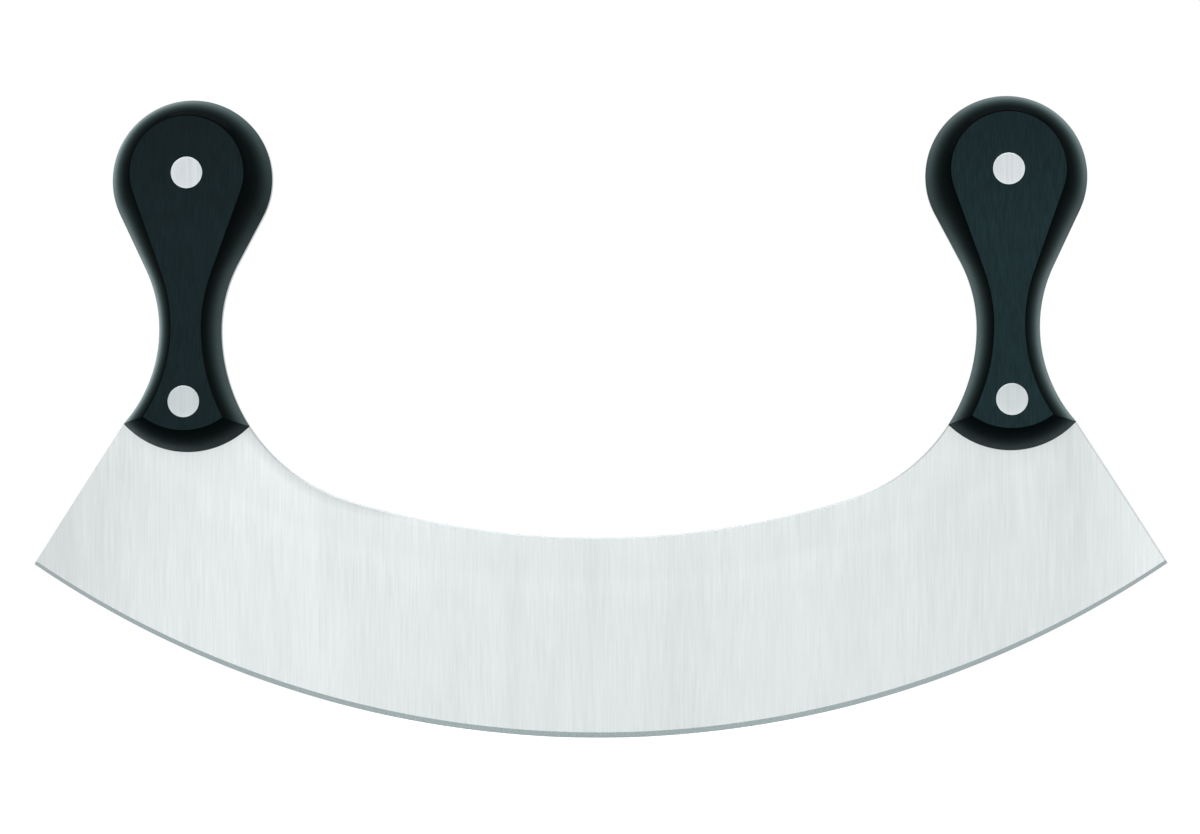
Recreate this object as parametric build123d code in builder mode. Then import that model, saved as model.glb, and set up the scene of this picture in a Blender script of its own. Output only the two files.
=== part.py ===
from build123d import *
import math
import os

# Mezzaluna: one crescent blade with an upright handle rising from each end.
# Millimetres. X runs along the blade, -Y is the front and +Z is up.
# The origin is the lowest point of the cutting edge, in the blade's middle plane.

# Blade
tip_span = 250.0  # straight distance from tip to tip
edge_radius = 223.0
blade_depth = 44.0  # from the edge to the back, midway along
back_radius = 186.5
heel_radius = 39.4  # where the back sweeps up into a handle
blade_thickness = 2.0
back_chamfer_share = 0.15  # of the blade's thickness
grind_height = 35.0  # from the edge to where the taper ends
shoulder_thickness = 0.6  # steel just behind the cutting bevel
bevel_width = 1.1
edge_thickness = 0.1
grinding_stock = 2.0  # spare steel outside the edge, before it is ground

# Handles
neck_inset = 34.6  # from a tip of the blade to the middle of the neck above it, along X
neck_width = 13.9
neck_radius = 31.5  # the hollow on each side of the neck
knob_radius = 17.8
knob_lean = 0.3  # how much nearer to the middle the knob is than the neck
flank_length = 11.7  # straight side between neck and knob, towards the middle
foot_radius = 19.4  # the scale's lower end, where the blade begins
foot_depth = 27.1  # from the neck's narrowest place to the foot's lowest
foot_lean = 0.45  # how much farther out the foot is than the neck
scale_thickness = 8.0
flat_margin = 3.6  # from the scale's outline to its flat face, at the neck
knob_margin_extra = 1.1  # how much wider that margin is round the knob
foot_margin_less = 0.3  # how much narrower it is along the foot
rim_angle = 50.0  # degrees of arc in the rounding between side and flat
rim_sections = 5

# Rivets
head_diameter = 7.0
head_thickness = 2.0
shank_diameter = 5.0
rivet_clearance = 0.05  # on the radius, round heads and shanks
knob_rivet_rise = 0.9  # upper rivet above the knob's centre
foot_rivet_rise = 10.8  # lower rivet above the foot's lowest point

# Places worked out from the sizes above, for the handle on the +X side
tip_x = tip_span / 2
tip_height = edge_radius - math.sqrt(edge_radius**2 - tip_x**2)
neck_x = tip_x - neck_inset
heel_x = neck_x - neck_width / 2 - heel_radius
back_height = blade_depth + back_radius
neck_height = back_height - math.sqrt((back_radius - heel_radius) ** 2 - heel_x**2)
knob_x = neck_x - knob_lean
hollow_reach = neck_width / 2 + neck_radius
knob_reach = hollow_reach - knob_lean
knob_height = neck_height + math.sqrt((neck_radius + knob_radius) ** 2 + flank_length**2 - knob_reach**2)
foot_x = neck_x + foot_lean
foot_height = neck_height - foot_depth + foot_radius
foot_rivet_height = neck_height - foot_depth + foot_rivet_rise
scale_seat = blade_thickness / 2
flat_height = scale_seat + scale_thickness

# Both planes have +Z as their own upward direction and face away from the blade
front_plane = Plane.XZ
rear_plane = Plane(origin=(0, 0, 0), x_dir=(-1, 0, 0), z_dir=(0, 1, 0))

os.makedirs("parts", exist_ok=True)


def save(piece, name):
    piece.part.label = name
    export_step(piece.part, f"parts/{name}.step")


# Where circle a crosses circle b, turned from the line of centres to the side named by turn
def circle_crossing(centre_a, radius_a, centre_b, radius_b, turn):
    line = centre_b - centre_a
    swing = math.acos((radius_a**2 + line.length**2 - radius_b**2) / (2 * radius_a * line.length))
    return centre_a + line.normalized().rotate(Axis.Z, turn * math.degrees(swing)) * radius_a


# The two ends of the straight line that leaves circle a on one side and meets circle b on the other
def crossed_tangent(centre_a, radius_a, centre_b, radius_b, turn):
    line = centre_b - centre_a
    swing = math.acos((radius_a + radius_b) / line.length)
    square = line.normalized().rotate(Axis.Z, turn * math.degrees(swing))
    return centre_a + square * radius_a, centre_b - square * radius_b


# The short arc about a centre from one point on it to another
def arc_about(centre, start, end):
    middle = (start + end) * 0.5 - centre
    return ThreePointArc(start, centre + middle.normalized() * (start - centre).length, end)


# The centres and radii of one handle's outline, and the corners of its foot.
# hand is 1 towards the plane's +x side, or -1.
# share runs from 0 at the outline to 1 at the rim of the flat face.
def handle_layout(hand, share):
    drawn_in = flat_margin * share
    layout = {
        "heel": (Vector(hand * heel_x, neck_height), heel_radius + drawn_in),
        "inner": (Vector(hand * (neck_x - hollow_reach), neck_height), neck_radius + drawn_in),
        "outer": (Vector(hand * (neck_x + hollow_reach), neck_height), neck_radius + drawn_in),
        "knob": (
            Vector(hand * knob_x, knob_height),
            knob_radius - drawn_in - knob_margin_extra * share,
        ),
        "foot": (
            Vector(hand * foot_x, foot_height),
            foot_radius - drawn_in + foot_margin_less * share,
        ),
    }
    layout["inner corner"] = circle_crossing(*layout["foot"], *layout["heel"], hand)
    layout["outer corner"] = circle_crossing(*layout["foot"], *layout["outer"], -hand)
    return layout


# The outline of one handle on a plane
def handle_outline(plane, hand, share):
    layout = handle_layout(hand, share)
    heel, heel_arc = layout["heel"]
    narrowest = heel + Vector(hand * heel_arc, 0)
    inner_low, inner_high = crossed_tangent(*layout["inner"], *layout["knob"], -hand)
    outer_low, outer_high = crossed_tangent(*layout["outer"], *layout["knob"], hand)
    with BuildSketch(plane) as outline:
        with BuildLine():
            arc_about(heel, layout["inner corner"], narrowest)
            arc_about(layout["inner"][0], narrowest, inner_low)
            inner_flank = Line(inner_low, inner_high)
            TangentArc(inner_high, outer_high, tangent=inner_flank % 1)
            Line(outer_high, outer_low)
            arc_about(layout["outer"][0], outer_low, layout["outer corner"])
            arc_about(layout["foot"][0], layout["outer corner"], layout["inner corner"])
        make_face()
    return outline.sketch


# The places of the upper and lower rivet on a plane
def rivet_spots(hand):
    return {
        "upper": (hand * neck_x, knob_height + knob_rivet_rise),
        "lower": (hand * foot_x, foot_rivet_height),
    }


# Blade: the crescent is cut from plate, its back is chamfered, it is ground to an edge,
# and the two tangs rise from it between the scales
with BuildPart() as blade:
    with BuildSketch(front_plane):
        with BuildLine():
            back_centre = Vector(0, back_height)
            back_ends = []
            stock_ends = []
            for hand in (-1, 1):
                layout = handle_layout(hand, 0)
                heel, heel_arc = layout["heel"]
                back_end = back_centre + (heel - back_centre).normalized() * back_radius
                tip = Vector(hand * tip_x, tip_height)
                outer_corner = layout["outer corner"]
                stock_end = tip + (tip - outer_corner).normalized() * grinding_stock
                arc_about(heel, back_end, layout["inner corner"])
                arc_about(layout["foot"][0], layout["inner corner"], outer_corner)
                Line(outer_corner, stock_end)
                back_ends.append(back_end)
                stock_ends.append(stock_end)
            ThreePointArc(back_ends[0], (0, blade_depth), back_ends[1])
            ThreePointArc(stock_ends[0], (0, -grinding_stock), stock_ends[1])
        make_face()
    extrude(amount=blade_thickness / 2, both=True)
    arcs = blade.edges().filter_by(GeomType.CIRCLE)
    sweep_arcs = [arc for arc in arcs if math.isclose(arc.radius, heel_radius)]
    back_arcs = [arc for arc in arcs if math.isclose(arc.radius, back_radius)]
    chamfer(sweep_arcs + back_arcs, length=back_chamfer_share * blade_thickness)
    # The ground section, drawn as thickness against distance from the centre of the edge's arc
    with BuildSketch(Plane(origin=(0, 0, edge_radius), x_dir=(0, 1, 0), z_dir=(1, 0, 0))):
        with BuildLine():
            Polyline(
                (0, 0),
                (blade_thickness / 2, 0),
                (blade_thickness / 2, edge_radius - grind_height),
                (shoulder_thickness / 2, edge_radius - bevel_width),
                (edge_thickness / 2, edge_radius),
                (0, edge_radius),
            )
            mirror(about=Plane.YZ)
        make_face()
    revolve(axis=Axis((0, 0, edge_radius), (0, 1, 0)), mode=Mode.INTERSECT)
    for hand in (-1, 1):
        extrude(handle_outline(front_plane, hand, 0), amount=blade_thickness / 2, both=True)
    with Locations(front_plane.offset(blade_thickness / 2)):
        for hand in (-1, 1):
            with Locations(*rivet_spots(hand).values()):
                Hole(shank_diameter / 2 + rivet_clearance)
save(blade, "blade")

# Scales: square to the tang at their edge, then rounded over to a flat outer face with a crisp rim.
# hand is the side of its own plane that a scale lies on, so it turns over between front and rear.
for side, face, plane, hand in (
    ("left", "front", front_plane, -1),
    ("left", "rear", rear_plane, 1),
    ("right", "front", front_plane, 1),
    ("right", "rear", rear_plane, -1),
):
    with BuildPart(plane.offset(flat_height)) as scale:
        sections = []
        for step in range(rim_sections):
            angle = math.radians(rim_angle * step / (rim_sections - 1))
            rise = scale_thickness * math.sin(angle) / math.sin(math.radians(rim_angle))
            share = (1 - math.cos(angle)) / (1 - math.cos(math.radians(rim_angle)))
            sections.append(handle_outline(plane.offset(scale_seat + rise), hand, share))
        loft(sections, ruled=True)
        with Locations(*rivet_spots(hand).values()):
            CounterBoreHole(
                shank_diameter / 2 + rivet_clearance,
                head_diameter / 2 + rivet_clearance,
                head_thickness,
            )
    save(scale, f"{side}_{face}_scale")

# Rivets: one solid shank through both scales and the tang, with a head level with each flat
for side, hand in (("left", -1), ("right", 1)):
    for row, spot in rivet_spots(hand).items():
        with BuildPart() as rivet:
            with BuildSketch(front_plane):
                with Locations(spot):
                    Circle(shank_diameter / 2)
            extrude(amount=flat_height, both=True)
            head_planes = (
                front_plane.offset(flat_height),
                front_plane.offset(head_thickness - flat_height),
            )
            with BuildSketch(*head_planes):
                with Locations(spot):
                    Circle(head_diameter / 2)
            extrude(amount=-head_thickness)
        save(rivet, f"{side}_{row}_rivet")
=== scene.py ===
import math

import bmesh
import bpy
import numpy as np
from mathutils import Matrix, Vector


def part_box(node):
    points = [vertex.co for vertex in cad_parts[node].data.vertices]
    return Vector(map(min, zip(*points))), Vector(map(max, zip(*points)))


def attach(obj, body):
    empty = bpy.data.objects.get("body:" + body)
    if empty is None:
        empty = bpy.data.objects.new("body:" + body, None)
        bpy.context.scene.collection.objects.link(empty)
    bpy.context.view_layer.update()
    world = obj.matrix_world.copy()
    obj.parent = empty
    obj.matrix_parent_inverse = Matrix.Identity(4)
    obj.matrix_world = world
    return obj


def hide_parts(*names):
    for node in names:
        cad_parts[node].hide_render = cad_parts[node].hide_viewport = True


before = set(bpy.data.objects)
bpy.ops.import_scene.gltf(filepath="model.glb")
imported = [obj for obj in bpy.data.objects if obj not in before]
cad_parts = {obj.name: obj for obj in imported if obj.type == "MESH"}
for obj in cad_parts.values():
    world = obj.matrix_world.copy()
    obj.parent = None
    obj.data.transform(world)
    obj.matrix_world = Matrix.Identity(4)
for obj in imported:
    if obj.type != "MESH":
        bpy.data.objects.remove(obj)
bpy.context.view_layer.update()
mm = 0.001  # sizes of pieces are in millimetres, meshes and what materials read in metres


# Quads between neighbouring rows of a grid whose columns run round in a closed loop
def loopQuads(rows, columns):
    row, column = np.meshgrid(np.arange(rows - 1), np.arange(columns), indexing="ij")
    here, above = row * columns, (row + 1) * columns
    after = (column + 1) % columns
    corners = [here + column, here + after, above + after, above + column]
    return np.stack(corners, axis=-1).reshape(-1, 4)


# One closed piece from several grids of points, given in mm as rows x columns x 3.
# finish is the material slot of the whole grid, or of each face between its rows.
def buildPiece(name, grids, materials, sharpAngle):
    points, faces, finishes, count = [], [], [], 0
    for grid, finish in grids:
        rows, columns = grid.shape[:2]
        points.append(grid.reshape(-1, 3) * mm)
        faces.append(loopQuads(rows, columns) + count)
        finishes.append(np.broadcast_to(finish, (rows - 1, columns)).ravel())
        count += rows * columns
    mesh = bpy.data.meshes.new(name)
    mesh.from_pydata(np.vstack(points).tolist(), [], np.vstack(faces).tolist())
    mesh.polygons.foreach_set("material_index", np.concatenate(finishes).astype(np.int32))
    for material in materials:
        mesh.materials.append(material)
    solid = bmesh.new()
    solid.from_mesh(mesh)
    bmesh.ops.remove_doubles(solid, verts=solid.verts, dist=1e-7)  # closes seams and poles
    bmesh.ops.recalc_face_normals(solid, faces=solid.faces)
    solid.to_mesh(mesh)
    solid.free()
    mesh.shade_smooth()
    mesh.set_sharp_from_angle(angle=math.radians(sharpAngle))
    piece = bpy.data.objects.new(name, mesh)
    bpy.context.scene.collection.objects.link(piece)
    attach(piece, "root")
    return piece


# An emptied node tree, of a material or of the world
def freshTree(owner):
    owner.use_nodes = True
    owner.node_tree.nodes.clear()
    return owner.node_tree


# A node with its settings, and its inputs either linked to a socket or set to a value
def addNode(tree, kind, inputs=None, **settings):
    node = tree.nodes.new(kind)
    for key, value in settings.items():
        setattr(node, key, value)
    for key, value in (inputs or {}).items():
        if isinstance(value, bpy.types.NodeSocket):
            tree.links.new(value, node.inputs[key])
        else:
            node.inputs[key].default_value = value
    return node


# Places on the object itself, which its patterns follow
def ownPlace(tree):
    return addNode(tree, "ShaderNodeTexCoord").outputs["Object"]


# Streaks are noise drawn out along Z, so that it varies across the piece and hardly along it.
# perMm counts them across, runMm is how long one runs, and seed moves the pattern.
def streaks(tree, perMm, runMm, detail, seed):
    scale = (perMm / mm, perMm / mm, 1 / (runMm * mm))
    moved = {"Vector": ownPlace(tree), "Location": (seed, seed / 3, 0), "Scale": scale}
    spread = addNode(tree, "ShaderNodeMapping", moved).outputs["Vector"]
    noise = {"Vector": spread, "Scale": 1.0, "Detail": detail, "Roughness": 0.6}
    return addNode(tree, "ShaderNodeTexNoise", noise).outputs["Fac"]


# A value that follows another from low to high over a span
def ranged(tree, value, span, low, high):
    settings = {"Value": value, "From Min": span[0], "From Max": span[1], "To Min": low, "To Max": high}
    return addNode(tree, "ShaderNodeMapRange", settings).outputs["Result"]


# A mean of two values, in which part is the second one's share
def blended(tree, first, second, part):
    inputs = {"Factor": part, "A": first, "B": second}
    return addNode(tree, "ShaderNodeMix", inputs, data_type="FLOAT").outputs["Result"]


# One or two values put through an operation of the Math node
def worked(tree, operation, *values):
    inputs = dict(enumerate(values))
    return addNode(tree, "ShaderNodeMath", inputs, operation=operation).outputs["Value"]


# All the given values multiplied together
def product(tree, first, *others):
    for other in others:
        first = worked(tree, "MULTIPLY", first, other)
    return first


# A tone times a shade, as a colour
def shaded(tree, tone, shade):
    inputs = {0: tone, "Scale": shade}
    return addNode(tree, "ShaderNodeVectorMath", inputs, operation="SCALE").outputs["Vector"]


# Where the painted light and shade changes across the object and up the knobs
paintedLightSpan = {"across": (-0.1, 0.1), "knobs": (0.112, 0.138)}  # along X and up Z, in metres


# Painted light and shade as a slow change of tone: along X from one value at the left handle to another
# at the right, and up the knobs to a share of that at their top
def paintedLightDrift(tree, left, right, top=1.0):
    place = addNode(tree, "ShaderNodeSeparateXYZ", {0: ownPlace(tree)}).outputs
    across = ranged(tree, place["X"], paintedLightSpan["across"], left, right)
    return product(tree, across, ranged(tree, place["Z"], paintedLightSpan["knobs"], 1.0, top))


# A material whose surface is one Principled shader with a bump from a height
def finished(material, tree, height, strength, depth, inputs):
    raised = {"Height": height, "Strength": strength, "Distance": depth * mm}
    bump = addNode(tree, "ShaderNodeBump", raised).outputs["Normal"]
    shader = addNode(tree, "ShaderNodeBsdfPrincipled", {**inputs, "Normal": bump})
    addNode(tree, "ShaderNodeOutputMaterial", {"Surface": shader.outputs["BSDF"]})
    return material


noiseSpan = (0.3, 0.7)  # where most of a noise's values lie

# Steel: the blade's faces, its bevel, its narrow rims and a strip along its right side, then the two
# rows of rivets. contrast is how far streaks move the tone, scratch their depth in mm, and
# paintedLightShare the tone's share at the left handle and at the right: painted light and shade across
# the object. The bevel and the rims are partly their own honed or rougher finish and partly painted
# shade in their darker tone; the strip's tone is a painted shade line, and the lower rivets' darker tone
# is painted shade.
steelLook = {
    "blade": {
        "tone": (0.555, 0.589, 0.589),
        "roughness": 0.34,
        "contrast": 0.09,
        "scratch": 0.02,
        "paintedLightShare": (1.055, 0.965),
    },
    # the honed bevel: partly its own honed finish, partly painted shade in its darker tone
    "honed": {
        "tone": (0.233, 0.272, 0.277),
        "roughness": 0.28,
        "contrast": 0.03,
        "scratch": 0.01,
        "paintedLightShare": (1.0, 1.0),
    },
    # rims and tang edges: partly a rougher finish, partly painted shade in their darker tone
    "rims": {
        "tone": (0.40, 0.43, 0.44),
        "roughness": 0.45,
        "contrast": 0.04,
        "scratch": 0.01,
        "paintedLightShare": (1.0, 1.0),
    },
    # a painted shade line along the blade's right side, between tip and foot
    "side": {
        "tone": (0.47, 0.50, 0.505),
        "roughness": 0.45,
        "contrast": 0.04,
        "scratch": 0.01,
        "paintedLightShare": (1.0, 1.0),
    },
    "upper": {
        "tone": (0.55, 0.585, 0.60),
        "roughness": 0.36,
        "contrast": 0.07,
        "scratch": 0.02,
        "paintedLightShare": (0.99, 1.03),
    },
    # painted shade: the lower rivets darker than the upper ones
    "lower": {
        "tone": (0.48, 0.52, 0.53),
        "roughness": 0.36,
        "contrast": 0.07,
        "scratch": 0.02,
        "paintedLightShare": (0.97, 1.06),
    },
}
steelBrush = {
    "fine": {"perMm": 3.2, "runMm": 14, "detail": 4, "seed": 1.0},
    "broad": {"perMm": 0.12, "runMm": 90, "detail": 2, "seed": 5.0},
    "broadShare": 0.35,
    "roughSpread": 0.05,
    "bump": 0.35,
}

# Painted light and shade on the blade, as slow changes of tone with centres, radii and spans in metres:
# painted shade along the left heel, near the edge and at the left tip, painted light towards both ends,
# the back and the right tip
bladePaintedLight = {
    "heelCentre": (-0.04405, 0, 0.09015),  # a painted shade band along the left heel
    "heelRadius": 0.0394,
    "heelWidth": 0.0026,
    "heel": 0.80,
    "edgeCentre": (0, 0, 0.223),  # distances from the edge's centre tell the grind and the edge
    "grindSpan": (0.178, 0.196),
    "grind": 1.10,
    "edgeSpan": (0.198, 0.222),
    "edge": 0.965,
    "endSpan": (0.03, 0.09),  # both ends, by their distance from the middle
    "end": 1.045,
    "leftSpan": (-0.124, -0.088),  # the last stretch before each tip
    "left": 0.865,
    "rightSpan": (0.104, 0.118),
    "right": 1.13,
}


# The distance of a place from a point
def distanceFrom(tree, place, point):
    inputs = {0: place, 1: point}
    return addNode(tree, "ShaderNodeVectorMath", inputs, operation="DISTANCE").outputs["Value"]


# The product of the blade's painted light and shade: each is a shade that fades to 1 over its span
def paintedBladeLight(tree):
    place = ownPlace(tree)
    flatten = {0: place, 1: (1, 0, 1)}
    level = addNode(tree, "ShaderNodeVectorMath", flatten, operation="MULTIPLY").outputs["Vector"]
    fromHeel = distanceFrom(tree, level, bladePaintedLight["heelCentre"])
    heelSpan = (bladePaintedLight["heelRadius"], bladePaintedLight["heelRadius"] + bladePaintedLight["heelWidth"])
    fromCentre = distanceFrom(tree, level, bladePaintedLight["edgeCentre"])
    across = addNode(tree, "ShaderNodeSeparateXYZ", {0: place}).outputs["X"]
    fromMiddle = worked(tree, "ABSOLUTE", across)
    return product(
        tree,
        ranged(tree, fromHeel, heelSpan, bladePaintedLight["heel"], 1),
        ranged(tree, fromMiddle, bladePaintedLight["endSpan"], 1, bladePaintedLight["end"]),
        ranged(tree, across, bladePaintedLight["leftSpan"], bladePaintedLight["left"], 1),
        ranged(tree, across, bladePaintedLight["rightSpan"], 1, bladePaintedLight["right"]),
        ranged(tree, fromCentre, bladePaintedLight["edgeSpan"], 1, bladePaintedLight["edge"]),
        ranged(tree, fromCentre, bladePaintedLight["grindSpan"], bladePaintedLight["grind"], 1),
    )


# Brushed steel: fine and broad streaks lighten and darken one tone, and the fine ones raise a low bump
def steel(name, look):
    material = bpy.data.materials.new(name)
    tree = freshTree(material)
    fine = streaks(tree, **steelBrush["fine"])
    both = blended(tree, fine, streaks(tree, **steelBrush["broad"]), steelBrush["broadShare"])
    shade = ranged(tree, both, noiseSpan, 1 - look["contrast"], 1 + look["contrast"])
    # painted light and shade: lighter or darker from the left handle to the right
    shade = product(tree, shade, paintedLightDrift(tree, *look["paintedLightShare"]))
    # the blade alone also gets its painted light and shade
    if name == "bladeSteel":
        shade = product(tree, shade, paintedBladeLight(tree))
    low, high = look["roughness"] - steelBrush["roughSpread"], look["roughness"] + steelBrush["roughSpread"]
    inputs = {
        "Base Color": shaded(tree, look["tone"], shade),
        "Metallic": 1.0,
        "Roughness": ranged(tree, fine, noiseSpan, low, high),
    }
    return finished(material, tree, fine, steelBrush["bump"], look["scratch"], inputs)


steels = {name: steel(f"{name}Steel", look) for name, look in steelLook.items()}
print("steel finishes made")

# Black plastic: the scales' rounded side, its lower part along the foot, and the flat. The foot's part
# is the polished side with less sheen, painted shade under the handle. paintedLightShare has a third
# number here, the tone's share at the top of a knob: painted light and shade, darker towards the tops.
plasticLook = {
    "polished": {
        "tone": (0.0001, 0.0003, 0.0003),
        "roughness": 0.20,
        "specular": 0.008,
        "contrast": 0.15,
        "scratch": 0.001,
        "sheen": 0.34,
        "sheenRoughness": 0.38,
        "sheenTint": (0.60, 0.97, 1.0),
        "paintedLightShare": (1.0, 1.0),
    },
    # painted shade: the polished side's copy for the foot, with less sheen
    "foot": {
        "tone": (0.0001, 0.0012, 0.0013),
        "roughness": 0.20,
        "specular": 0.006,
        "contrast": 0.15,
        "scratch": 0.001,
        "sheen": 0.12,
        "sheenRoughness": 0.40,
        "sheenTint": (0.60, 0.97, 1.0),
        "paintedLightShare": (0.9, 1.1),
    },
    "brushed": {
        "tone": (0.0048, 0.0134, 0.0157),
        "roughness": 0.46,
        "specular": 0.065,
        "contrast": 0.35,
        "scratch": 0.02,
        "sheen": 0.0,
        "sheenRoughness": 0.5,
        "sheenTint": (1.0, 1.0, 1.0),
        "paintedLightShare": (0.72, 1.28, 0.66),
    },
}
plasticBrush = {
    "fine": {"perMm": 4.5, "runMm": 3.5, "detail": 3, "seed": 9.0},
    "roughSpread": 0.15,  # as a share of the roughness
    "bump": 0.3,
}


# Black plastic with a trace of green and blue: short fine streaks on the brushed flat, and hardly any
# on the polished side, whose sheen lifts it towards its silhouette
def plastic(name, look):
    material = bpy.data.materials.new(name)
    tree = freshTree(material)
    fine = streaks(tree, **plasticBrush["fine"])
    shade = ranged(tree, fine, noiseSpan, 1 - look["contrast"], 1 + look["contrast"])
    # painted light and shade: lighter or darker from the left handle to the right and towards the knobs'
    # tops
    shade = product(tree, shade, paintedLightDrift(tree, *look["paintedLightShare"]))
    spread = look["roughness"] * plasticBrush["roughSpread"]
    inputs = {
        "Base Color": shaded(tree, look["tone"], shade),
        "Roughness": ranged(tree, fine, noiseSpan, look["roughness"] - spread, look["roughness"] + spread),
        "Specular IOR Level": look["specular"],
        "Sheen Weight": look["sheen"],
        "Sheen Roughness": look["sheenRoughness"],
        "Sheen Tint": (*look["sheenTint"], 1),
    }
    return finished(material, tree, fine, plasticBrush["bump"], look["scratch"], inputs)


plastics = {name: plastic(f"{name}Plastic", look) for name, look in plasticLook.items()}
print("plastic finishes made")

# Handles. An outline is a row of complex numbers, x + z * 1j in mm, and several shares of the
# margin give one row each
handle = {
    "neckWidth": 13.9,
    "neckRadius": 31.5,
    "heelRadius": 39.4,
    "knobLean": 0.3,  # how much nearer to the middle the knob is than the neck
    "footRadius": 19.4,
    "footLean": 0.45,  # how much farther out the foot is than the neck
    "footDepth": 27.1,  # from the neck's narrowest place to the foot's lowest
    "upperRivetRise": 0.9,  # above the knob's centre
    "lowerRivetRise": 10.8,  # above the foot's lowest point
    "neckMargin": 3.6,  # from the outline to the flat, at the neck
    "knobMargin": 5.2,
    "footMargin": 4.5,
    "sideLean": 16,  # degrees that the side leans in where it leaves the tang
    "rimLean": 62,  # and where it reaches the flat
    "leanPower": 2.6,  # how late between them it grows
    "rimRound": 0.03,  # share of the side that rolls over into the flat
    "flatSunk": 0.04,  # the flat lies this far under the rivet heads
    "tangHalf": 1.0,
    "tangGap": 0.02,  # between each side of a tang and the scale on it
    "sharpAngle": 12,
}
# Points of an outline, in its order, and rows of a scale
outlineSteps = {
    "heel": 28,
    "innerHollow": 44,
    "innerFlank": 10,
    "knob": 120,
    "outerFlank": 14,
    "outerHollow": 64,
    "foot": 60,
}
scaleRows = {"side": 26, "rim": 6, "flat": 7}

lowest, highest = (np.array(corner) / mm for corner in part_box("right_front_scale"))
knobRadius = (highest[0] - lowest[0]) / 2
knobCentre = (highest[0] + lowest[0]) / 2 + 1j * (highest[2] - knobRadius)
neckX = knobCentre.real + handle["knobLean"]
neckZ = lowest[2] + handle["footDepth"]
heelCentre = neckX - handle["neckWidth"] / 2 - handle["heelRadius"] + 1j * neckZ
flatY = -lowest[1]
rivetSpots = {
    "upper": neckX + 1j * (knobCentre.imag + handle["upperRivetRise"]),
    "lower": neckX + handle["footLean"] + 1j * (lowest[2] + handle["lowerRivetRise"]),
}


# Where circle a crosses circle b: along the line of centres, swung by the angle of the cosine rule
def circleCrossing(centreA, radiusA, centreB, radiusB, turn):
    line = centreB - centreA
    swing = np.arccos((radiusA**2 + abs(line) ** 2 - radiusB**2) / (2 * radiusA * abs(line)))
    return centreA + line / abs(line) * np.exp(1j * turn * swing) * radiusA


# Both ends of the line that touches two circles and crosses between them:
# the cosine of its swing is the sum of the radii over the distance of the centres
def crossedTangent(centreA, radiusA, centreB, radiusB, turn):
    line = centreB - centreA
    square = line / abs(line) * np.exp(1j * turn * np.arccos((radiusA + radiusB) / abs(line)))
    return centreA + square * radiusA, centreB - square * radiusB


# Points on an arc: the first spoke turned by equal steps, the long way round if asked
def arcPoints(centre, start, end, count, longWay=False):
    sweep = np.angle((end - centre) / (start - centre))
    if longWay:
        sweep = sweep - 2 * np.pi * np.sign(sweep)
    return centre + (start - centre) * np.exp(1j * sweep * np.linspace(0, 1, count, endpoint=False))


# Points at equal steps from start towards end, without the end itself
def linePoints(start, end, count):
    return start + (end - start) * np.linspace(0, 1, count, endpoint=False)


# The right handle's outline drawn in by a share of its margins: seven arcs and lines that touch.
# Each circle's radius grows or shrinks with the share, and the knob's centre moves to the rivet.
def handleRing(share):
    share = np.atleast_1d(share)[:, None]
    grown = handle["neckMargin"] * share
    reach = handle["neckWidth"] / 2 + handle["neckRadius"]
    hollow = handle["neckRadius"] + grown
    inner = neckX - reach + 1j * neckZ
    outer = neckX + reach + 1j * neckZ
    heelRadius = handle["heelRadius"] + grown
    footRadius = handle["footRadius"] - handle["footMargin"] * share
    foot = neckX + handle["footLean"] + 1j * (neckZ - handle["footDepth"] + handle["footRadius"])
    knob = knobRadius - handle["knobMargin"] * share
    centre = knobCentre + (rivetSpots["upper"] - knobCentre) * share
    innerCorner = circleCrossing(foot, footRadius, heelCentre, heelRadius, 1)
    outerCorner = circleCrossing(foot, footRadius, outer, hollow, -1)
    innerLow, innerHigh = crossedTangent(inner, hollow, centre, knob, -1)
    outerLow, outerHigh = crossedTangent(outer, hollow, centre, knob, 1)
    narrowest = heelCentre + heelRadius
    return np.hstack([
        arcPoints(heelCentre, innerCorner, narrowest, outlineSteps["heel"]),
        arcPoints(inner, narrowest, innerLow, outlineSteps["innerHollow"]),
        linePoints(innerLow, innerHigh, outlineSteps["innerFlank"]),
        arcPoints(centre, innerHigh, outerHigh, outlineSteps["knob"], longWay=True),
        linePoints(outerHigh, outerLow, outlineSteps["outerFlank"]),
        arcPoints(outer, outerLow, outerCorner, outlineSteps["outerHollow"]),
        arcPoints(foot, outerCorner, innerCorner, outlineSteps["foot"]),
    ])


# The handle's outline on the tang, whose foot starts at its outer corner
outline = handleRing(0)[0]
innerCorner, outerCorner = outline[0], outline[-outlineSteps["foot"]]


# The handle's middle line between its rivets: for each point of a ring, the point of the line at its
# height, kept between the rivets
def spine(ring):
    line = rivetSpots["upper"] - rivetSpots["lower"]
    rise = np.clip((ring.imag - rivetSpots["lower"].imag) / line.imag, 0, 1)
    return rivetSpots["lower"] + line * rise


# Points in space from an outline: its x, turned over for the left hand, the given y, and its z
def placed(ring, y, hand):
    return np.stack([hand * ring.real, np.broadcast_to(y, ring.shape), ring.imag], axis=-1)


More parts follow.
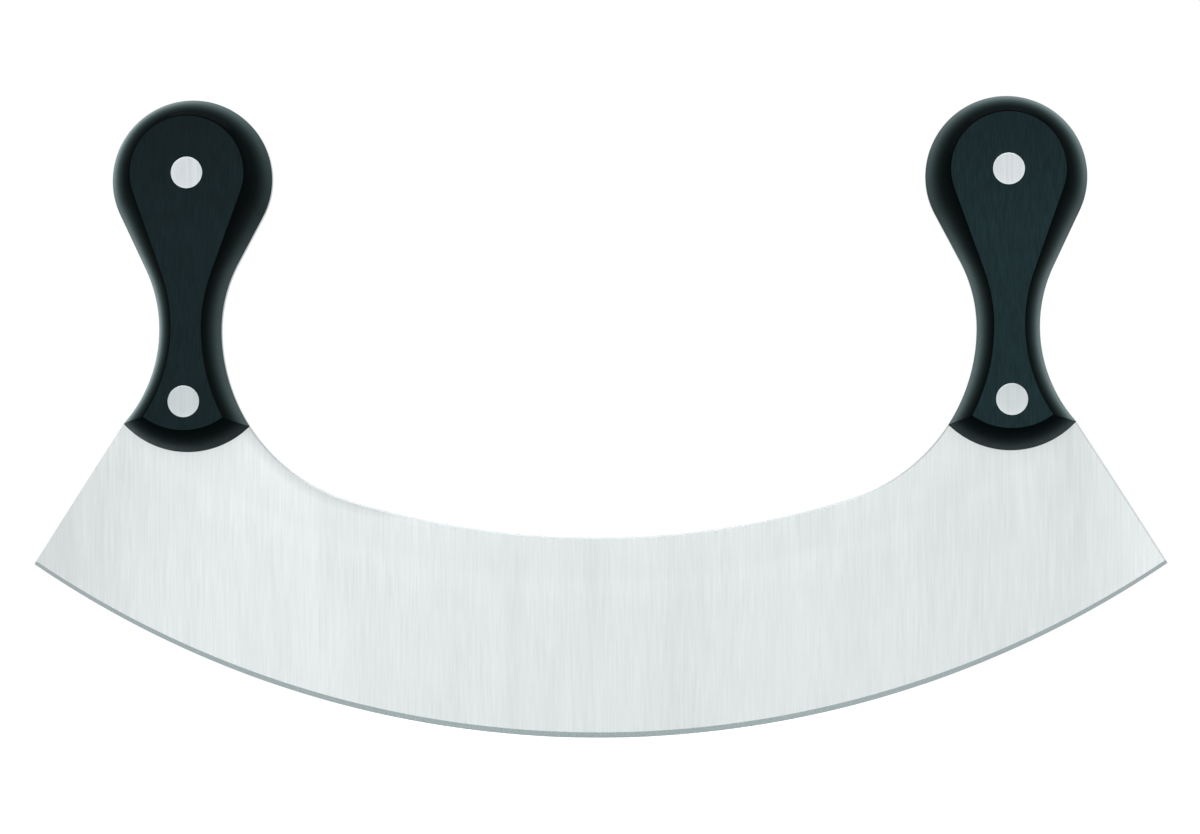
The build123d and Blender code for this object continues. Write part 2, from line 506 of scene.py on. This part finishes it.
# The side's section, as shares of its margin and of its height. Its lean grows as a power of the
# way up, then rolls over to 90 degrees; the sums of the lean's sine and cosine give inset and rise.
def sideSection():
    rimStart = 1 - handle["rimRound"]
    side = np.linspace(0, rimStart, scaleRows["side"])
    way = np.concatenate([side, np.linspace(rimStart, 1, scaleRows["rim"])[1:]])
    climb = np.minimum(way / rimStart, 1) ** handle["leanPower"]
    roll = np.maximum(way - rimStart, 0) / handle["rimRound"]
    lean = handle["sideLean"] + (handle["rimLean"] - handle["sideLean"]) * climb
    lean = lean + (90 - handle["rimLean"]) * roll
    middle = np.radians((lean[1:] + lean[:-1]) / 2)
    inset = np.concatenate([[0], np.cumsum(np.sin(middle) * np.diff(way))])
    rise = np.concatenate([[0], np.cumsum(np.cos(middle) * np.diff(way))])
    return inset / inset[-1], rise / rise[-1]


polishedSlot, brushedSlot, shadedFootSlot = range(3)  # material slots of a scale


# One scale: a seat against the tang, the side that leans in round it, and a flat face. Seat and flat
# are their outlines shrunk towards the middle line. The foot's part of each row is painted shade: the
# polished plastic with less sheen.
def buildScale(side, face, hand, front):
    inset, rise = sideSection()
    depth = flatY - handle["flatSunk"] - handle["tangHalf"]
    rings = handleRing(inset)
    outward = np.array([[0.0], [0.5]])
    inward = np.linspace(1, 0, scaleRows["flat"] + 1)[1:, None]
    seat = spine(rings[0]) + (rings[0] - spine(rings[0])) * outward
    flat = spine(rings[-1]) + (rings[-1] - spine(rings[-1])) * inward
    rows = np.vstack([seat, rings, flat])
    y = np.concatenate([np.zeros(len(seat)), rise * depth, np.full(len(flat), depth)]) + handle["tangHalf"]
    finish = np.full((len(rows) - 1, rows.shape[1]), polishedSlot)
    # the foot's part of the side gets painted shade
    finish[:, -outlineSteps["foot"] :] = shadedFootSlot
    finish[-len(flat) :] = brushedSlot
    finishes = [plastics["polished"], plastics["brushed"], plastics["foot"]]
    grid = placed(rows, front * y[:, None], hand)
    scale = buildPiece(f"{side}{face}Scale", [(grid, finish)], finishes, handle["sharpAngle"])
    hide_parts(f"{side}_{face.lower()}_scale")


for side, hand in (("left", -1), ("right", 1)):
    for face, front in (("Front", -1), ("Rear", 1)):
        buildScale(side, face, hand, front)
print("scales made")

# Rivets
rivet = {
    "headRadius": 3.5,
    "headDepth": 2.0,
    "shankRadius": 2.5,
    "edgeRound": 0.12,
    "edgeSteps": 7,
    "aroundSteps": 96,
    "sharpAngle": 30,
}


# A rivet is a profile turned about its own axis, from the middle of one head to the middle of the
# other. The edge of a head is a quarter circle.
def buildRivet(side, row, hand):
    turn = np.radians(np.linspace(0, 90, rivet["edgeSteps"]))
    headEdge = rivet["headRadius"] - rivet["edgeRound"] * (1 - np.sin(turn))
    headTop = flatY - rivet["edgeRound"] * (1 - np.cos(turn))
    headFoot = flatY - rivet["headDepth"]
    step = [rivet["headRadius"], rivet["shankRadius"]]
    radius = np.concatenate([[0, rivet["headRadius"] / 2], headEdge, step])
    height = np.concatenate([[flatY, flatY], headTop, [headFoot, headFoot]])
    radius = np.concatenate([radius, radius[::-1]])[:, None]
    height = np.concatenate([height, -height[::-1]])[:, None]
    around = np.linspace(0, 2 * np.pi, rivet["aroundSteps"], endpoint=False)
    grid = placed(rivetSpots[row] + radius * np.exp(1j * around), height, hand)
    name = f"{side}{row.capitalize()}Rivet"
    piece = buildPiece(name, [(grid, 0)], [steels[row]], rivet["sharpAngle"])
    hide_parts(f"{side}_{row}_rivet")


for side, hand in (("left", -1), ("right", 1)):
    for row in rivetSpots:
        buildRivet(side, row, hand)
print("rivets made")

# Blade, in places about the centre of its edge: distance, and angle from straight down
blade = {
    "tipSpan": 250.0,
    "edgeRadius": 223.0,
    "depth": 44.0,  # from the edge to the back, midway along
    "backRadius": 186.5,
    "grindHeight": 35.0,  # from the edge to where the taper ends
    "bevelWidth": 1.2,  # midway along
    "tipBevel": 0.8,  # the same at the tips
    "shoulderHalf": 0.3,  # half the thickness just behind the bevel
    "edgeHalf": 0.05,
    "backChamfer": 0.35,
    "paintedLineWidth": 0.3,  # width of the painted shade line along the right side, between tip and handle
    "rimFacing": 0.8,  # a face that looks less than this to the front or rear is a rim
    "sharpAngle": 9,
}
bladeSteps = {"spokes": 701, "upper": 8, "taper": 24, "bevel": 4}
plainSlot, honedSlot, rimSlot, paintedLineSlot = range(4)  # material slots of the blade

tipAngle = math.asin(blade["tipSpan"] / 2 / blade["edgeRadius"])


# The bevel narrows from the middle to the tips with the square of the angle
def bevelWidth(angle):
    return blade["bevelWidth"] + (blade["tipBevel"] - blade["bevelWidth"]) * (angle / tipAngle) ** 2


# Distance from the edge's centre to a circle, on its far side, along spokes at the given angles:
# how far along the spoke the circle's centre lies, and half the chord that the spoke cuts
def spokeTo(circle, radius, angle):
    offset = circle - 1j * blade["edgeRadius"]
    along = offset.real * np.sin(angle) - offset.imag * np.cos(angle)
    return along + np.sqrt(radius**2 - abs(offset) ** 2 + along**2)


# The blade's upper side along each spoke: back arc, then heel arc, then a chord hidden under the handle
def backDistance(angle):
    back = 1j * (blade["depth"] + blade["backRadius"])
    centre = 1j * blade["edgeRadius"]
    join = back + (heelCentre - back) / abs(heelCentre - back) * blade["backRadius"]
    bend = [np.angle((spot - centre) * 1j) for spot in (join, innerCorner, outerCorner)]
    away = abs(angle)
    onBack = spokeTo(back, blade["backRadius"], away)
    onHeel = spokeTo(heelCentre, handle["heelRadius"], np.minimum(away, bend[1]))
    chord = np.interp(away, bend[1:], [abs(innerCorner - centre), abs(outerCorner - centre)])
    return np.where(away < bend[0], onBack, np.where(away < bend[1], onHeel, chord)), bend


# Shares of a way in equal steps, up to 1
def shares(count):
    return np.arange(1, count + 1) / count


# The ground section carried along the edge: its half thickness follows the distance from the centre
# of the edge's arc. Past the handle's inner corner the spokes lean over step by step, until the last
# one lies along the straight side between tip and foot, where the section closes on the middle plane.
def bladeGrid():
    angle = np.linspace(-tipAngle, tipAngle, bladeSteps["spokes"])[:, None]
    top, bend = backDistance(angle)
    grindStart = blade["edgeRadius"] - blade["grindHeight"]
    shoulder = blade["edgeRadius"] - bevelWidth(angle)
    full, thin = handle["tangHalf"], blade["shoulderHalf"]
    upper, taper, bevel = (shares(bladeSteps[part]) for part in ("upper", "taper", "bevel"))
    chamferFoot = top + blade["backChamfer"]
    distance = np.hstack([
        top,
        chamferFoot,
        chamferFoot + (grindStart - chamferFoot) * upper,
        grindStart + (shoulder - grindStart) * taper,
        shoulder + (blade["edgeRadius"] - shoulder) * bevel,
    ])
    half = np.concatenate([
        [full - blade["backChamfer"], full],
        np.full(len(upper), full),
        full + (thin - full) * taper,
        thin + (blade["edgeHalf"] - thin) * bevel,
    ])
    half = np.broadcast_to(half, distance.shape)
    distance = np.hstack([distance, distance[:, ::-1]])
    half = np.hstack([-half, half[:, ::-1]])
    outward = np.clip((abs(angle) - bend[1]) / (tipAngle - bend[1]), 0, 1)
    limit = np.interp(distance, [top[0, 0], blade["edgeRadius"]], [bend[2], tipAngle])
    angle = angle + np.sign(angle) * outward * (limit - tipAngle)
    x, z = distance * np.sin(angle), blade["edgeRadius"] - distance * np.cos(angle)
    points = np.stack([x, half, z], axis=-1)
    flattened = points[[0, -1]] * [1, 0, 1]
    return np.concatenate([flattened[:1], points, flattened[1:]])


# A tang is the handle's outline carried straight through between the scales, closed on its middle line
def tangGrid(hand):
    rings = np.stack([spine(outline), outline, outline, spine(outline)])
    y = np.array([-1, -1, 1, 1])[:, None] * (handle["tangHalf"] - handle["tangGap"])
    return placed(rings, y, hand)


# The finish follows the place: the bevel is honed, what faces sideways is a rim,
# and a narrow strip along the straight right side, between tip and foot, is a painted shade line
def finishBlade(body):
    centres = np.zeros(len(body.data.polygons) * 3, np.float32)
    normals = np.zeros_like(centres)
    body.data.polygons.foreach_get("center", centres)
    body.data.polygons.foreach_get("normal", normals)
    centres, normals = centres.reshape(-1, 3) / mm, normals.reshape(-1, 3)
    fromCentre = np.hypot(centres[:, 0], blade["edgeRadius"] - centres[:, 2])
    spoke = np.arctan2(centres[:, 0], blade["edgeRadius"] - centres[:, 2])
    honed = fromCentre > blade["edgeRadius"] - bevelWidth(spoke)
    tip = blade["tipSpan"] / 2 + 1j * blade["edgeRadius"] * (1 - math.cos(tipAngle))
    side = (outerCorner - tip) / abs(outerCorner - tip)
    fromSide = ((centres[:, 0] + 1j * centres[:, 2] - tip) / side).imag
    # the strip along the right side gets a painted shade line
    finish = np.where(fromSide < blade["paintedLineWidth"], paintedLineSlot, plainSlot)
    finish = np.where(honed, honedSlot, finish)
    finish = np.where(abs(normals[:, 1]) < blade["rimFacing"], rimSlot, finish)
    body.data.polygons.foreach_set("material_index", finish.astype(np.int32))
    body.data.update()


grids = [(bladeGrid(), plainSlot), (tangGrid(-1), rimSlot), (tangGrid(1), rimSlot)]
finishes = [steels[name] for name in ("blade", "honed", "rims", "side")]
body = buildPiece("bladeBody", grids, finishes, blade["sharpAngle"])
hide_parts("blade")
finishBlade(body)
print("blade made")

# Floor, world and lamps, in metres and watts
studio = {
    "floorTone": (0.80, 0.80, 0.80),
    "floorGlow": 0.45,
    "floorHalf": 40,
    "worldLight": 0.75,
    "aim": (0, 0, 0.08),
}
lamps = {
    "keyBox": {"place": (-1.0, -1.2, 1.2), "width": 1.2, "height": 0.9, "power": 9.0},
    "fillBox": {"place": (1.3, -0.9, 0.7), "width": 0.8, "height": 1.0, "power": 5.0},
    "topBox": {"place": (0.0, -0.35, 1.1), "width": 1.0, "height": 0.5, "power": 7.0},
}


# 1 for camera, glossy and transmission rays, else 0
def seenRays(tree):
    path = addNode(tree, "ShaderNodeLightPath").outputs
    seen = worked(tree, "MAXIMUM", path["Is Camera Ray"], path["Is Glossy Ray"])
    return worked(tree, "MAXIMUM", seen, path["Is Transmission Ray"])


# The floor is lit as any matt surface is, and glows a little for seen rays, so that it looks white
def paleFloor():
    material = bpy.data.materials.new("paleFloor")
    tree = freshTree(material)
    glow = product(tree, seenRays(tree), studio["floorGlow"])
    lit = addNode(tree, "ShaderNodeBsdfDiffuse", {"Color": (*studio["floorTone"], 1)})
    shining = addNode(tree, "ShaderNodeEmission", {"Color": (1, 1, 1, 1), "Strength": glow})
    both = addNode(tree, "ShaderNodeAddShader", {0: lit.outputs["BSDF"], 1: shining.outputs["Emission"]})
    addNode(tree, "ShaderNodeOutputMaterial", {"Surface": both.outputs["Shader"]})
    return material


far = studio["floorHalf"]
floorCorners = [(-far, -far, 0), (far, -far, 0), (far, far, 0), (-far, far, 0)]
floorMesh = bpy.data.meshes.new("floor")
floorMesh.from_pydata(floorCorners, [], [(0, 1, 2, 3)])
floorMesh.materials.append(paleFloor())
floor = bpy.data.objects.new("floor", floorMesh)
bpy.context.scene.collection.objects.link(floor)

# The world looks white to seen rays and lights the object at worldLight
world = bpy.data.worlds.new("studio")
bpy.context.scene.world = world
tree = freshTree(world)
strength = ranged(tree, seenRays(tree), (0, 1), studio["worldLight"], 1.0)
sky = addNode(tree, "ShaderNodeBackground", {"Color": (1, 1, 1, 1), "Strength": strength})
addNode(tree, "ShaderNodeOutputWorld", {"Surface": sky.outputs["Background"]})


# An area lamp that faces the object
def softbox(name, place, width, height, power):
    lamp = bpy.data.lights.new(name, "AREA")
    lamp.shape = "RECTANGLE"
    lamp.size, lamp.size_y, lamp.energy = width, height, power
    box = bpy.data.objects.new(name, lamp)
    box.location = place
    towards = Vector(studio["aim"]) - Vector(place)
    box.rotation_euler = towards.to_track_quat("-Z", "Y").to_euler()
    bpy.context.scene.collection.objects.link(box)


for name, lamp in lamps.items():
    softbox(name, **lamp)
print("studio lit")

# Camera, with its place and lens in mm and its turn in radians, as fitted to the photograph
view = {
    "place": (50.0, -1062.5, 11.9),
    "yaw": 0.0466,
    "pitch": 0.0552,
    "lens": 144.75,
    "sensor": 36,
    "clip": (0.05, 100),  # in metres
}
camera = bpy.data.objects.new("camera", bpy.data.cameras.new("camera"))
camera.data.sensor_width = view["sensor"]
camera.data.lens = view["lens"]
camera.data.clip_start, camera.data.clip_end = view["clip"]
turned = Matrix.Rotation(view["yaw"], 4, "Z") @ Matrix.Rotation(math.pi / 2 + view["pitch"], 4, "X")
camera.matrix_world = Matrix.Translation(Vector(view["place"]) * mm) @ turned
bpy.context.scene.collection.objects.link(camera)
bpy.context.scene.camera = camera
bpy.context.scene.view_settings.view_transform = "Standard"
print("camera placed")
